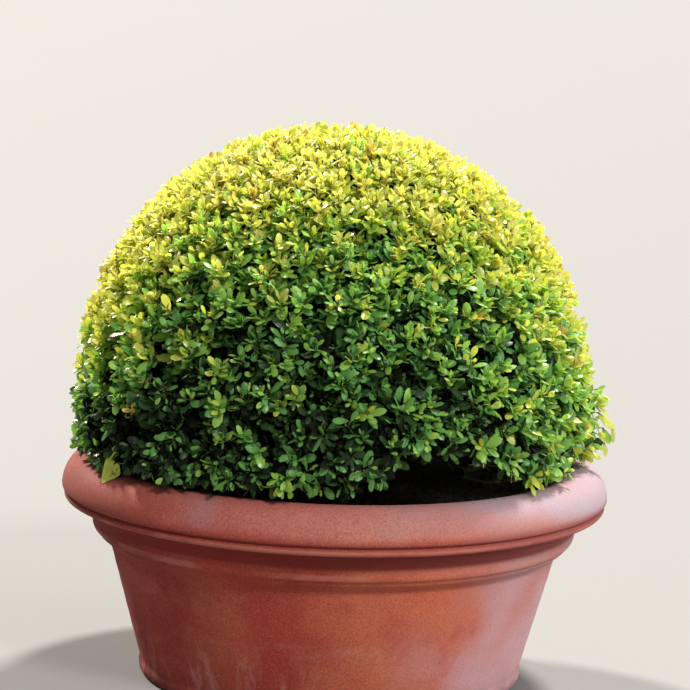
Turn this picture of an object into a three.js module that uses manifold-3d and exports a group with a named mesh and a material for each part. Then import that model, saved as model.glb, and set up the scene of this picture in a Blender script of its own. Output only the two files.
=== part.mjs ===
// A box shrub clipped to a dome, growing in a wide, shallow terracotta pot with a rolled rim.
// Sizes are in millimetres and +Z is up. The origin is on the ground under the middle of the pot.
// The front of the plant faces -Y.

import * as THREE from 'three';
import { mergeVertices } from 'three/addons/utils/BufferGeometryUtils.js';
import Module from 'manifold-3d';

const wasm = await Module();
wasm.setup();

// Gap between pieces that rest on or meet each other
const seatGap = 0.3;

// Pot: a low foot, a tapering body, a raised band, a hollow neck, a thin bead and a rolled rim.
// Each turn of its outside is a radius and a height.
const roundFaces = 48;
const footTurns = [[222, 0], [225.5, 4], [226.5, 11]];
const bodyFoot = [224.5, 16];
const bodyTop = [262.5, 155];
const bandTurns = [[273, 164], [276, 167], [280, 169], [282, 176], [284, 184]];
const neckTurns = [[286, 190], [289, 199], [297, 204]];
const beadTurns = [[314, 206], [317, 209], [317, 213], [313, 216]];
const rimRadius = 320;
const rimLevel = 220;
const rollHalfWidth = 33;
const rollHalfHeight = 38;
const rollSteps = 10;
const wallThickness = 22;
const floorThickness = 24;
const shoulderOut = 4;
const shoulderRise = 20;

// Soil, a little lower towards the wall
const soilLevel = 228;
const soilFall = 6;
const soilFlatRadius = 70;
const soilGap = 0.6;

// Trunk: short, flared at the soil and leaning a little
const trunkHeight = 74;
const trunkFootRadius = 24;
const trunkTopRadius = 16;
const flareReach = 15;
const flareHeight = 14;
const flareLobes = 5;
const lobeDepth = 0.35;
const trunkLean = new THREE.Vector2(-6, 5);
const trunkSides = 15;
const trunkRings = 9;
const ringCrowding = 1.5;

// Boughs: they leave the trunk in turn and rise into the underside of the crown
const boughCount = 6;
const boughLowest = 34;
const boughRise = 20;
const boughBaseRadius = 9.5;
const boughTipRadius = 5;
const boughReach = [188, 150];
const boughTurn = 0.35;
const boughBend = { along: 0.6, rise: 0.38 };
const boughOverrun = 20;
const boughSides = 8;
const boughRings = 8;

// Crown outline, to the tips of the leaves: half an ellipsoid on a short upright skirt
const crownCentre = new THREE.Vector2(-6, 0);
const crownRadius = 309;
const crownWidest = 319;
const crownTop = 657;
const rimClearance = 4;

// Core of the crown: it follows the outline from inside, dips into the pot's mouth and is arched underneath
const coverDepth = 38;
const coreFaces = 24;
const coreRings = 7;
const hemLevel = 251;
const hemWidth = 28;
const hemSlant = 18;
const hemRise = 11;
const archRise = 92;
const archRings = 4;
const archRadius = crownRadius - coverDepth - hemSlant - hemWidth;

// Front right, where the clipped edge is higher than the rim and leaves a dark gap
const gapAzimuth = THREE.MathUtils.degToRad(27);
const gapHalfWidth = THREE.MathUtils.degToRad(15);
const gapLift = 30;
const gapFade = 140;

// Twigs and leaves
const seed = 7;
const stemRadius = 15;
const stemTipRadius = 7;
const stemHeight = 130;
const stemSides = 9;
const forkCount = 14;
const forkShare = 0.5;
const outlineBands = 240;
const shootCount = 80;
const edgeShootCount = 16;
const edgeLevel = 292;
const shootLength = 44;
const shootBaseRadius = 5;
const shootTipRadius = 3.5;
const tipInset = 32;
const leafLength = 60;
const leafWidth = 32;
const leafThickness = 3;
const leafWidest = 0.56;
const leafRoot = 1.5;
const leafTurnChance = 0.5;
const leafSpreadChance = 16;
const leafLengthChance = 0.2;
const leafPairs = [
  { back: 4, spread: 46, scale: 0.84 },
  { back: 13, spread: 64, scale: 1 },
  { back: 22, spread: 76, scale: 1 },
];

// Upward part of a shoot's direction, from the clipped edge to a level above the widest one, and its chance
const droop = -0.4;
const rise = 0.3;
const riseLevel = 380;
const shootChance = 0.4;

// Loose sprigs that stand out past the clipped outline: azimuth from the front, height and reach
const looseInset = 34;
const looseSprigs = [
  { azimuth: 87, level: 322, beyond: 28 },
  { azimuth: 99, level: 345, beyond: 16 },
  { azimuth: 73, level: 300, beyond: 12 },
];

const upward = new THREE.Vector3(0, 0, 1);

// Repeatable random numbers from 0 to 1
function randomFrom(start) {
  let state = start;
  return () => {
    state = (state * 1664525 + 1013904223) % 4294967296;
    return state / 4294967296;
  };
}

// A solid from corner points and triangles
function solidFrom(points, triangles) {
  const vertProperties = new Float32Array(points.flatMap((point) => [point.x, point.y, point.z]));
  const triVerts = new Uint32Array(triangles.flat());
  return new wasm.Manifold(new wasm.Mesh({ numProp: 3, vertProperties, triVerts }));
}

// A solid from a closed geometry, without the flat triangles at its poles
function solidFromGeometry(geometry) {
  const bare = geometry.clone();
  bare.deleteAttribute('normal');
  bare.deleteAttribute('uv');
  const merged = mergeVertices(bare, 0.001);
  const place = merged.attributes.position;
  const points = [];
  for (let i = 0; i < place.count; i += 1) {
    points.push(new THREE.Vector3().fromBufferAttribute(place, i));
  }
  const triangles = [];
  for (let i = 0; i < merged.index.count; i += 3) {
    const [a, b, c] = merged.index.array.slice(i, i + 3);
    if (a !== b && b !== c && c !== a) {
      triangles.push([a, b, c]);
    }
  }
  return solidFrom(points, triangles);
}

// The largest body of a solid, which leaves out loose scraps and fills sealed hollows
function largestBody(solid) {
  const bodies = solid.decompose();
  bodies.sort((one, other) => other.volume() - one.volume());
  return bodies[0];
}

// A named mesh from a solid or a geometry
function namedMesh(name, shape, material) {
  let geometry = shape;
  if (!shape.isBufferGeometry) {
    const { vertProperties, triVerts } = shape.getMesh();
    geometry = new THREE.BufferGeometry();
    geometry.setAttribute('position', new THREE.BufferAttribute(vertProperties, 3));
    geometry.setIndex(new THREE.BufferAttribute(triVerts, 1));
  }
  geometry.computeVertexNormals();
  const mesh = new THREE.Mesh(geometry, material);
  mesh.name = name;
  return mesh;
}

// A closed shape turned round the Z axis from [radius, height] points
function turned(profile, faces) {
  const outline = profile.map(([radius, height]) => new THREE.Vector2(radius, height));
  return new THREE.LatheGeometry(outline, faces).rotateX(Math.PI / 2);
}

// Radius of the inside of the pot's wall at a height on its tapering body
function innerRadius(level) {
  const share = (level - bodyFoot[1]) / (bodyTop[1] - bodyFoot[1]);
  return THREE.MathUtils.lerp(bodyFoot[0], bodyTop[0], share) - wallThickness;
}

// Turns of the inside, from the shoulder under the rolled rim down to the floor, drawn in by a gap
function insideTurns(gap) {
  const topRadius = innerRadius(bodyTop[1]) - gap;
  return [
    [topRadius + shoulderOut, bodyTop[1] + shoulderRise],
    [topRadius, bodyTop[1]],
    [innerRadius(floorThickness) - gap, floorThickness + gap / 2],
    [0, floorThickness + gap / 2],
  ];
}

function makePot() {
  const rollCentre = rimRadius - rollHalfWidth;
  const roll = [];
  for (let i = 0; i <= rollSteps; i += 1) {
    const angle = (i / rollSteps) * Math.PI;
    roll.push([rollCentre + rollHalfWidth * Math.cos(angle), rimLevel + rollHalfHeight * Math.sin(angle)]);
  }
  const outside = [...footTurns, bodyFoot, bodyTop, ...bandTurns, ...neckTurns, ...beadTurns];
  return turned([[0, 0], ...outside, ...roll, ...insideTurns(0)], roundFaces);
}

function makeSoil() {
  const edge = rimRadius - 2 * rollHalfWidth - soilGap;
  return turned([
    ...insideTurns(soilGap).reverse(),
    [edge, rimLevel],
    [edge, soilLevel - soilFall],
    [(edge + soilFlatRadius) / 2, soilLevel - soilFall / 3],
    [soilFlatRadius, soilLevel],
    [0, soilLevel],
  ], roundFaces);
}

// Middle of the trunk at a share of its height
function trunkCentre(share) {
  const foot = soilLevel + seatGap;
  return new THREE.Vector3(trunkLean.x * share, trunkLean.y * share, foot + trunkHeight * share);
}

// The trunk's rings stay level, so that its foot and its top are cut flat
function makeTrunk(extra) {
  const points = [];
  for (let ring = 0; ring <= trunkRings; ring += 1) {
    const share = (ring / trunkRings) ** ringCrowding;
    const centre = trunkCentre(share);
    const flare = flareReach * Math.exp((-share * trunkHeight) / flareHeight);
    for (let side = 0; side < trunkSides; side += 1) {
      const angle = (side / trunkSides) * 2 * Math.PI;
      const lobe = 1 - lobeDepth + lobeDepth * Math.cos(flareLobes * angle);
      const plain = THREE.MathUtils.lerp(trunkFootRadius, trunkTopRadius, share);
      const radius = plain + flare * lobe + extra;
      const lift = ring === trunkRings ? extra : 0;
      points.push(new THREE.Vector3(Math.cos(angle) * radius, Math.sin(angle) * radius, lift).add(centre));
    }
  }
  return solidFrom(points, tubeTriangles(trunkSides, trunkRings));
}

// Triangles of a closed tube of rings, with flat ends fanned from their first corner
function tubeTriangles(sides, rings) {
  const triangles = [];
  for (let ring = 0; ring < rings; ring += 1) {
    for (let side = 0; side < sides; side += 1) {
      const here = ring * sides + side;
      const next = ring * sides + ((side + 1) % sides);
      triangles.push([here, next, next + sides], [here, next + sides, here + sides]);
    }
  }
  const last = rings * sides;
  for (let side = 1; side < sides - 1; side += 1) {
    triangles.push([0, side + 1, side], [last, last + side, last + side + 1]);
  }
  return triangles;
}

// A round limb along a curve, tapering from one radius to another
function makeLimb(curve, startRadius, endRadius, sides, rings) {
  const frames = curve.computeFrenetFrames(rings);
  const points = [];
  for (let ring = 0; ring <= rings; ring += 1) {
    const share = ring / rings;
    const centre = curve.getPointAt(share);
    const radius = THREE.MathUtils.lerp(startRadius, endRadius, share);
    for (let side = 0; side < sides; side += 1) {
      const angle = (side / sides) * 2 * Math.PI;
      const arm = frames.normals[ring].clone().multiplyScalar(Math.cos(angle) * radius);
      arm.addScaledVector(frames.binormals[ring], Math.sin(angle) * radius);
      points.push(arm.add(centre));
    }
  }
  return solidFrom(points, tubeTriangles(sides, rings));
}

// A straight limb
function makeTwig(from, to, startRadius, endRadius, sides = 3) {
  return makeLimb(new THREE.LineCurve3(from, to), startRadius, endRadius, sides, 1);
}

// A bough's middle line, from inside the trunk to a point inside the crown's underside
function boughCurve(index) {
  const azimuth = ((index + boughTurn) / boughCount) * 2 * Math.PI;
  const share = (boughLowest + (index % 2) * boughRise) / trunkHeight;
  const start = trunkCentre(share);
  const reach = boughReach[index % 2];
  const end = new THREE.Vector3(Math.cos(azimuth) * reach, Math.sin(azimuth) * reach, 0);
  end.z = archLevel(reach) + boughOverrun;
  const middle = start.clone().lerp(end, boughBend.along);
  middle.z = THREE.MathUtils.lerp(start.z, end.z, boughBend.rise);
  return new THREE.QuadraticBezierCurve3(start, middle, end);
}

function makeBough(index, trunkSpace, coreSpace) {
  const limb = makeLimb(boughCurve(index), boughBaseRadius, boughTipRadius, boughSides, boughRings);
  return largestBody(limb.subtract(trunkSpace).subtract(coreSpace));
}

// Point and outward direction on the crown's outline, drawn in by a depth, at an angle from its top
function crownArc(angle, depth) {
  const across = crownRadius - depth;
  const upright = crownTop - crownWidest - depth;
  return {
    radius: across * Math.sin(angle),
    level: crownWidest + upright * Math.cos(angle),
    outward: new THREE.Vector2(Math.sin(angle) / across, Math.cos(angle) / upright).normalize(),
  };
}

// Height of the arched underside at a distance from the middle of the crown
function archLevel(distance) {
  return hemLevel + archRise * Math.sqrt(Math.max(0, 1 - (distance / archRadius) ** 2));
}

// How far the clipped edge is lifted at an azimuth, counted from the front towards +X: flat across the gap,
// with steep ends
function edgeLift(azimuth) {
  const away = (azimuth - gapAzimuth) / gapHalfWidth;
  return gapLift * Math.exp(-(away ** 4));
}

// Share of the lift that is left at a height
function liftFade(level) {
  return THREE.MathUtils.clamp(1 - (level - hemLevel) / gapFade, 0, 1);
}

// Azimuth of a point, counted from the front towards +X
function azimuthOf(x, y) {
  return Math.atan2(x - crownCentre.x, crownCentre.y - y);
}

// The core, grown by a clearance where limbs have to be cut clear of it
function makeCore(clearance) {
  const depth = coverDepth - clearance;
  const profile = [];
  for (let i = 0; i <= archRings; i += 1) {
    const distance = archRadius * Math.sin((i / archRings) * Math.PI / 2);
    profile.push([distance, archLevel(distance) - clearance]);
  }
  profile.push([crownRadius - depth - hemSlant, hemLevel - clearance]);
  profile.push([crownRadius - depth, hemLevel + hemRise - clearance]);
  for (let i = coreRings; i >= 0; i -= 1) {
    const { radius, level } = crownArc((i / coreRings) * Math.PI / 2, depth);
    profile.push([radius, level]);
  }
  const geometry = turned(profile, coreFaces);
  geometry.translate(crownCentre.x, crownCentre.y, 0);
  const place = geometry.attributes.position;
  for (let i = 0; i < place.count; i += 1) {
    const level = place.getZ(i);
    const nearEdge = Math.hypot(place.getX(i) - crownCentre.x, place.getY(i) - crownCentre.y) / crownRadius;
    const lift = edgeLift(azimuthOf(place.getX(i), place.getY(i))) * liftFade(level) * nearEdge ** 2;
    place.setZ(i, level + lift);
  }
  return solidFromGeometry(geometry);
}

// A leaf of eight faces: pointed at both ends, widest past the middle, thickest along its rib
function makeLeaf(root, along, face, length) {
  const side = new THREE.Vector3().crossVectors(face, along).normalize();
  const width = leafWidth * (length / leafLength);
  const spot = (forward, sideways, raised) => root.clone()
    .addScaledVector(along, forward * length)
    .addScaledVector(side, sideways * width)
    .addScaledVector(face, raised * leafThickness);
  const points = [
    spot(0, 0, 0),
    spot(leafWidest, -0.5, -0.2),
    spot(1, 0, -0.5),
    spot(leafWidest, 0.5, -0.2),
    spot(0.4, 0, 0.6),
    spot(0.75, 0, -0.4),
  ];
  const triangles = [
    [0, 1, 4], [1, 2, 4], [2, 3, 4], [3, 0, 4],
    [0, 3, 1], [3, 2, 5], [2, 1, 5], [1, 3, 5],
  ];
  return { solid: solidFrom(points, triangles), points };
}

// Lowest level that leaves reach at a distance from the pot's axis: just over the rolled rim
function lowestLevel(distance) {
  const across = (distance - (rimRadius - rollHalfWidth)) / rollHalfWidth;
  return rimLevel + rollHalfHeight * Math.sqrt(Math.max(0, 1 - across * across)) + rimClearance;
}

// Whether a point lies in the crown's own space: under its outline, clear of the pot and its underside
function inCrownSpace(point, beyond) {
  const distance = Math.hypot(point.x - crownCentre.x, point.y - crownCentre.y);
  const reach = crownRadius + beyond;
  const above = Math.max(0, point.z - crownWidest);
  const height = crownTop - crownWidest;
  const underOutline = (distance / reach) ** 2 + (above / height) ** 2 < 1.0001;
  const clearOfPot = point.z > lowestLevel(Math.hypot(point.x, point.y));
  const clearOfLimbs = distance > archRadius || point.z > archLevel(distance);
  return underOutline && clearOfPot && clearOfLimbs;
}

// A shoot with its opposite pairs of leaves, each pair turned a quarter from the one before
function growShoot(tip, direction, spin, beyond, random) {
  const root = tip.clone().addScaledVector(direction, -shootLength);
  const solids = [makeTwig(root, tip, shootBaseRadius, shootTipRadius)];
  const sideways = new THREE.Vector3().crossVectors(direction, upward);
  if (sideways.length() < 0.01) {
    sideways.set(1, 0, 0);
  }
  sideways.normalize();
  leafPairs.forEach(({ back, spread, scale }, order) => {
    const node = tip.clone().addScaledVector(direction, -back);
    for (let half = 0; half < 2; half += 1) {
      const turn = spin + (order / 2 + half) * Math.PI + (random() - 0.5) * leafTurnChance;
      const arm = sideways.clone().applyAxisAngle(direction, turn);
      const lean = THREE.MathUtils.degToRad(spread + (random() - 0.5) * leafSpreadChance);
      const along = direction.clone().multiplyScalar(Math.cos(lean)).addScaledVector(arm, Math.sin(lean));
      const face = direction.clone().multiplyScalar(Math.sin(lean)).addScaledVector(arm, -Math.cos(lean));
      const start = node.clone().addScaledVector(along, -leafRoot);
      const length = leafLength * scale * (1 + (random() - 0.5) * leafLengthChance);
      const leaf = makeLeaf(start, along, face, length);
      if (leaf.points.every((point) => inCrownSpace(point, beyond))) {
        solids.push(leaf.solid);
      }
    }
  });
  return { root, solids };
}

// A place on the outline at an azimuth counted from the front, and its outward direction
function crownSpot(band, azimuth) {
  const east = Math.sin(azimuth);
  const north = -Math.cos(azimuth);
  const point = new THREE.Vector3(band.radius * east, band.radius * north, band.level);
  point.x += crownCentre.x;
  point.y += crownCentre.y;
  point.z += edgeLift(azimuth) * liftFade(band.level);
  const outward = new THREE.Vector3(band.outward.x * east, band.outward.x * north, band.outward.y);
  return { point, outward: outward.normalize() };
}

// Narrow bands of the outline from its top down to its edge, each with the running area up to it
function crownBands() {
  const bands = [];
  const quarterArc = (crownRadius + crownTop - crownWidest) * Math.PI / 4;
  const skirt = crownWidest - edgeLevel;
  let area = 0;
  let above = crownArc(0, 0);
  for (let i = 1; i <= outlineBands; i += 1) {
    const along = (i / outlineBands) * (quarterArc + skirt);
    const band = crownArc(Math.min(along / quarterArc, 1) * Math.PI / 2, 0);
    band.level -= Math.max(0, along - quarterArc);
    area += (band.radius + above.radius) * Math.hypot(band.radius - above.radius, band.level - above.level);
    bands.push({ ...band, area });
    above = band;
  }
  return bands;
}

// Places spread evenly over the outline by the golden angle
function evenSpots(count) {
  const bands = crownBands();
  const whole = bands[bands.length - 1].area;
  const goldenAngle = Math.PI * (3 - Math.sqrt(5));
  const spots = [];
  for (let i = 0; i < count; i += 1) {
    const band = bands.find(({ area }) => area >= (whole * (i + 0.5)) / count);
    spots.push(crownSpot(band, i * goldenAngle));
  }
  return spots;
}

// Places round the clipped edge
function edgeSpots(count) {
  const edge = { ...crownArc(Math.PI / 2, 0), level: edgeLevel };
  const spots = [];
  for (let i = 0; i < count; i += 1) {
    spots.push(crownSpot(edge, (i / count) * 2 * Math.PI));
  }
  return spots;
}

// Shoots under the clipped outline: each leans from the outward direction by chance,
// drooping at the edge and rising higher up
function clippedShoots(random) {
  return [...evenSpots(shootCount), ...edgeSpots(edgeShootCount)].map(({ point, outward }) => {
    const risen = THREE.MathUtils.smoothstep(point.z, hemLevel, riseLevel);
    const direction = outward.clone().addScaledVector(upward, THREE.MathUtils.lerp(droop, rise, risen));
    const chance = new THREE.Vector3(random() - 0.5, random() - 0.5, random() - 0.5);
    direction.addScaledVector(chance, shootChance).normalize();
    return { tip: point.addScaledVector(outward, -tipInset), direction, beyond: 0 };
  });
}

// Shoots that the shears missed
function looseShoots() {
  return looseSprigs.map(({ azimuth, level, beyond }) => {
    const turn = THREE.MathUtils.degToRad(azimuth);
    const outward = new THREE.Vector3(Math.sin(turn), -Math.cos(turn), 0);
    const tip = new THREE.Vector3(crownCentre.x, crownCentre.y, level);
    tip.addScaledVector(outward, crownRadius + beyond - looseInset);
    return { tip, direction: outward.addScaledVector(upward, rise).normalize(), beyond };
  });
}

// The crown: one stem forks inside the core, and leafy shoots grow from the nearest fork out of the core
function makeCrown() {
  const random = randomFrom(seed);
  const stemFoot = trunkCentre(1).addScaledVector(upward, seatGap);
  const stemTop = stemFoot.clone().addScaledVector(upward, stemHeight);
  const forks = evenSpots(forkCount).map(({ point }) => stemTop.clone().lerp(point, forkShare));
  const solids = [makeTwig(stemFoot, stemTop, stemRadius, stemTipRadius, stemSides)];
  for (const fork of forks) {
    solids.push(makeTwig(stemTop, fork, stemTipRadius, shootBaseRadius));
  }
  for (const { tip, direction, beyond } of [...clippedShoots(random), ...looseShoots()]) {
    const shoot = growShoot(tip, direction, random() * Math.PI, beyond, random);
    const away = forks.map((fork) => fork.distanceTo(shoot.root));
    const nearest = forks[away.indexOf(Math.min(...away))];
    solids.push(makeTwig(nearest, shoot.root, shootBaseRadius, shootBaseRadius), ...shoot.solids);
  }
  return largestBody(solids.reduce((whole, solid) => whole.add(solid), makeCore(0)));
}

const terracotta = new THREE.MeshStandardMaterial({ color: 0xb0583f, roughness: 0.85, metalness: 0 });
const darkSoil = new THREE.MeshStandardMaterial({ color: 0x2a1d14, roughness: 1, metalness: 0 });
const bark = new THREE.MeshStandardMaterial({ color: 0x6b5a45, roughness: 0.9, metalness: 0 });
const foliage = new THREE.MeshStandardMaterial({ color: 0x4f8a22, roughness: 0.5, metalness: 0 });

const plant = new THREE.Group();
plant.add(namedMesh('pot', makePot(), terracotta));
plant.add(namedMesh('soil', makeSoil(), darkSoil));
plant.add(namedMesh('trunk', makeTrunk(0), bark));
const trunkSpace = makeTrunk(seatGap);
const coreSpace = makeCore(seatGap);
for (let i = 0; i < boughCount; i += 1) {
  plant.add(namedMesh(`bough_${i + 1}`, makeBough(i, trunkSpace, coreSpace), bark));
}
plant.add(namedMesh('foliage_dome', makeCrown(), foliage));

export default plant;
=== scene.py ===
# A box shrub clipped to a dome, growing in a wide terracotta pot with a rolled rim.
# Shapes are worked out in millimetres and put into the meshes in metres.
import math

import bpy
import numpy as np
from mathutils import Matrix, Vector


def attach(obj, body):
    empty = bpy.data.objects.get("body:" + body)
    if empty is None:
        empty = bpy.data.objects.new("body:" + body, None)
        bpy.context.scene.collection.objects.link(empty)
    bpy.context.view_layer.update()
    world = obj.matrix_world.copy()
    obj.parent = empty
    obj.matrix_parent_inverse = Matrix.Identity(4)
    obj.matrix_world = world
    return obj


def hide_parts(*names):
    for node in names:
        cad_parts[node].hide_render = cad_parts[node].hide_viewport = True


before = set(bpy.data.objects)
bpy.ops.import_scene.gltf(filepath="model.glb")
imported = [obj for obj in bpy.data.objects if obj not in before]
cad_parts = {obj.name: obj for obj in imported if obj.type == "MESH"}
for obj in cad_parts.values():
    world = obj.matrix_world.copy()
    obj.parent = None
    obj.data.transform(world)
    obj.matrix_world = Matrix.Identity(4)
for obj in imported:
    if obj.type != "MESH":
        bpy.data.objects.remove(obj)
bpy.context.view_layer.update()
metre = 0.001  # a millimetre's length in metres
up = np.array([0.0, 0.0, 1.0])
goldenAngle = math.pi * (3 - math.sqrt(5))
joined = np.concatenate
print("frame: nodes", sorted(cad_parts))


# A new object in the scene
def addObject(name, data):
    thing = bpy.data.objects.new(name, data)
    bpy.context.scene.collection.objects.link(thing)
    return thing


# Camera at the photograph's angle: it aims a little over the rim and is rolled a little to the left.
# Lengths are in metres, angles in degrees and the lens in millimetres.

view = dict(
    aim=0.22, distance=3.53, elevation=11.3, lens=156.5, farClip=200.0,
    turns=[("Z", -0.1056), ("X", 81.42), ("Z", 1.9)],  # about the camera's own axes
)


def makeCamera():
    camera = bpy.data.cameras.new("camera")
    camera.lens = view["lens"]
    camera.clip_end = view["farClip"]
    rise = math.radians(view["elevation"])
    back, above = view["distance"] * math.cos(rise), view["distance"] * math.sin(rise)
    place = Matrix.Translation((0, -back, view["aim"] + above))
    for axis, angle in view["turns"]:
        place = place @ Matrix.Rotation(math.radians(angle), 4, axis)
    holder = addObject("camera", camera)
    holder.matrix_world = place
    bpy.context.scene.camera = holder


makeCamera()
print("camera: ready")


# Small helpers for shader nodes

def isSocket(value):
    return hasattr(value, "is_output")


# Links a node's inputs to other nodes' outputs, and sets plain values on the inputs themselves
def feed(node, inputs):
    for key, value in inputs.items():
        if isSocket(value):
            node.id_data.links.new(value, node.inputs[key])
        else:
            node.inputs[key].default_value = value
    return node


# A node with its settings, and its inputs in order or by name, in the tree that a linked input comes from
def addNode(kind, settings, *inOrder, **byName):
    inputs = {**dict(enumerate(inOrder)), **byName}
    node = next(value.id_data for value in inputs.values() if isSocket(value)).nodes.new(kind)
    for key, value in settings.items():
        setattr(node, key, value)
    return feed(node, inputs)


def maths(operation, first, second=0.0):
    return addNode("ShaderNodeMath", {"operation": operation}, first, second).outputs[0]


def times(value, *others):
    for other in others:
        value = maths("MULTIPLY", value, other)
    return value


def plus(value, *others):
    for other in others:
        value = maths("ADD", value, other)
    return value


def less(first, second):
    return maths("SUBTRACT", first, second)


def larger(first, second):
    return maths("MAXIMUM", first, second)


def noise(place, scale, detail=3.0, roughness=0.5, distortion=0.0):
    node = addNode("ShaderNodeTexNoise", {}, Vector=place, Scale=scale, Detail=detail, Roughness=roughness,
                   Distortion=distortion)
    return node.outputs["Fac"]


# A value carried from one range to another and held at its ends
def remap(value, low, high, toLow=0.0, toHigh=1.0):
    settings = {"clamp": True, "interpolation_type": "SMOOTHSTEP"}
    return addNode("ShaderNodeMapRange", settings, value, low, high, toLow, toHigh).outputs[0]


# One between two values, fading to nothing over a width outside them
def bandMask(value, low, high, fade):
    return times(remap(value, low - fade, low), remap(value, high, high + fade, 1.0, 0.0))


# The colours of this kind of node are its inputs 6 and 7, after those for numbers and vectors
def blend(share, first, second):
    node = addNode("ShaderNodeMix", {"data_type": "RGBA"}, share)
    return feed(node, {6: first, 7: second}).outputs[2]


# Colours of a palette laid over a ground, each with its share
def blendLayers(colour, palette, layers):
    for name, share in layers:
        colour = blend(share, colour, palette[name])
    return colour


def stretched(place, scale):
    return addNode("ShaderNodeMapping", {}, Vector=place, Scale=scale).outputs[0]


def splitPlace(place):
    return addNode("ShaderNodeSeparateXYZ", {}, place).outputs


# Linear colour from the red, green and blue steps of a paint chart
def paint(red, green, blue):
    parts = [part / 255 for part in (red, green, blue)]
    return tuple(part / 12.92 if part <= 0.04045 else ((part + 0.055) / 1.055) ** 2.4 for part in parts) + (1.0,)


# An empty node group: an input with a value takes numbers, one without takes places, and outputs are numbers
def newGroup(name, inputs, outputs):
    group = bpy.data.node_groups.new(name, "ShaderNodeTree")
    for label, value in inputs.items():
        kind = "NodeSocketVector" if value is None else "NodeSocketFloat"
        socket = group.interface.new_socket(label, in_out="INPUT", socket_type=kind)
        if value is not None:
            socket.default_value = value
    for label in outputs:
        group.interface.new_socket(label, in_out="OUTPUT", socket_type="NodeSocketFloat")
    return group, group.nodes.new("NodeGroupInput").outputs, group.nodes.new("NodeGroupOutput")


def newMaterial(name):
    material = bpy.data.materials.new(name)
    material.use_nodes = True
    tree = material.node_tree
    tree.nodes.clear()
    shader = tree.nodes.new("ShaderNodeBsdfPrincipled")
    addNode("ShaderNodeOutputMaterial", {}, shader.outputs[0])
    return material, shader, tree.nodes.new("ShaderNodeTexCoord").outputs["Object"]


# Colour, roughness and gloss of a shader, and a fine relief whose bump has a strength and a depth in metres
def dressShader(shader, colour, roughness, relief, bump, specular=0.5):
    normal = addNode("ShaderNodeBump", {}, Strength=bump[0], Distance=bump[1], Height=relief).outputs[0]
    feed(shader, {"Base Color": colour, "Roughness": roughness, "Specular IOR Level": specular, "Normal": normal})


# Fine grain: specks where a fine noise stands highest, and a rough height

def makeGrainGroup():
    inputs = {"Place": None, "Grain Scale": 600.0, "Speck Share": 0.3}
    group, given, made = newGroup("fineGrain", inputs, ["Specks", "Height"])
    fine = noise(given["Place"], given["Grain Scale"], 4.0, 0.65)
    coarse = noise(given["Place"], times(given["Grain Scale"], 0.22), 3.0, 0.6)
    cut = less(0.72, times(given["Speck Share"], 0.2))
    height = plus(times(fine, 0.55), times(coarse, 0.45))
    feed(made, {"Specks": remap(fine, cut, plus(cut, 0.07)), "Height": height})
    return group


fineGrain = makeGrainGroup()


# Specks and height of grain at a scale and a share of specks
def grain(place, scale, share):
    return addNode("ShaderNodeGroup", {"node_tree": fineGrain}, place, scale, share).outputs


# Fired clay: orange to red brown clouds, more orange towards the right, painted shade in maroon on the left, rosy and
# pale patches on the top of the rim, painted light and reflection in pale pink and lavender on the right, lime at the
# foot, painted highlights on rounded edges, painted shade in the neck, the creases and under the roll, grime in the
# mouth and a sanded grain

clay = dict(
    # The maroon and umber below paint shade on the left
    orange=paint(191, 100, 71), red=paint(168, 60, 49), shadeMaroon=paint(94, 13, 24), shadeUmber=paint(116, 60, 42),
    # Below, the lavender, grey pink and pale pink paint light and reflection on the right, and the lavender also lies
    # in pale patches on the rim
    rose=paint(190, 124, 107), bloomAndSheen=paint(149, 139, 147), rightSheen=paint(164, 117, 114), reflectedGlow=paint(204, 164, 172),
    # Below, the two dark reds paint shade in the creases, the neck and under the roll, and the first also colours a
    # real dark mottle and specks
    lime=paint(216, 174, 160), creaseShadeAndMottle=paint(112, 34, 32), underRollShadow=paint(134, 52, 44), grime=paint(50, 32, 26),
    roughness=(0.72, 0.92), specular=0.2, bump=(0.4, 0.0007),
    # Noises: scale, detail, roughness and distortion
    noises=dict(
        clouds=(4.5, 5.0, 0.6, 0.4), patches=(22.0, 5.0, 0.68, 0.3), soft=(9.0, 2.0, 0.45, 0.2),
        mottle=(430.0, 4.0, 0.8), sand=(520.0, 3.0, 0.75), smears=(28.0, 5.0, 0.65),
    ),
    wash=(8.0, 6.0, 0.62, 0.3), washStretch=(1.0, 1.0, 2.4),
    streaks=(12.0, 5.0, 0.66, 0.2), streakStretch=(3.0, 3.0, 0.55),
    # Grain: scale and share of specks
    paleSpecks=(620.0, 0.75), darkSpecks=(728.0, 0.7), flecks=(240.0, 0.0),
    # Bands of height in metres: low, high and fade
    bands=dict(
        # Painted shade lies in the band under the roll, at the neck and in the creases, and painted highlights on the
        # band's and the bead's rounded edges
        underRollShade=(0.2, 0.2175, 0.012), bandEdgeHighlight=(0.172, 0.177, 0.003), beadHighlight=(0.2065, 0.2105, 0.003),
        neckShade=(0.1875, 0.2045, 0.006), rollCrease=(0.2146, 0.2172, 0.003), bandCrease=(0.167, 0.1696, 0.004),
    ),
    # Distances from the axis: the neck's band, and where the mouth ends and the outside begins
    neckReach=(0.1, 0.309, 0.004), mouth=(0.263, 0.283), outside=(0.262, 0.268),
)


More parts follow.
